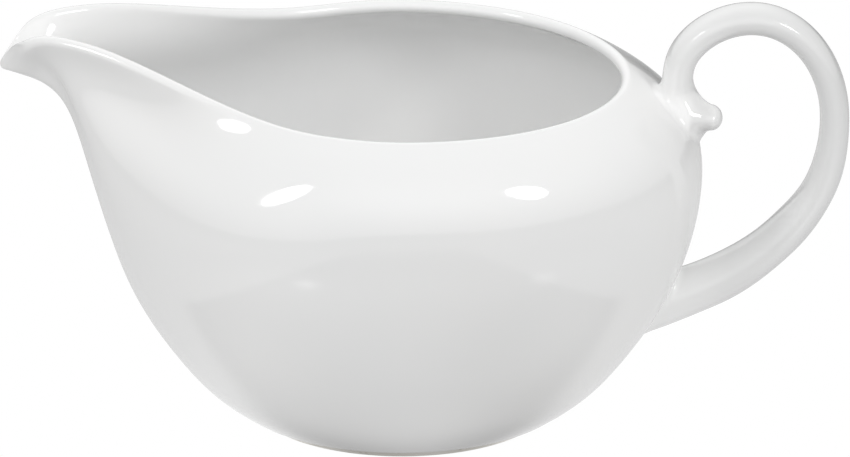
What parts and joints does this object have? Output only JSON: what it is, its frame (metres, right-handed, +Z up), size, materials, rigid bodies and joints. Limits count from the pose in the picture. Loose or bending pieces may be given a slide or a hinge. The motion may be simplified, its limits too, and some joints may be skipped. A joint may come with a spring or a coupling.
{
  "type": "gravy boat",
  "caption": "Oval white porcelain sauce boat with a belly, a raised pulled pouring spout with a hooked lip, a standing ring and a loop handle with a finger spur.",
  "frame": {"origin": "middle of the object's overall length and width, on the surface it stands on", "axes": "+X towards the handle, -X towards the pouring spout, +Z up; the XZ plane is the plane of symmetry"},
  "size_m": [0.189, 0.1158, 0.0972],
  "materials": {
    "glaze": "glossy clear glaze on white porcelain",
    "handle_glaze": "glossy clear glaze on white porcelain",
    "slip": "glazed porcelain slip fillet",
    "biscuit": "unglazed, fine matte biscuit"
  },
  "bodies": {
    "boat": {"bowl": "glaze", "foot_ring": "biscuit", "handle": "handle_glaze", "upper_joint": "slip", "lower_joint": "slip"}
  },
  "joints": []
}
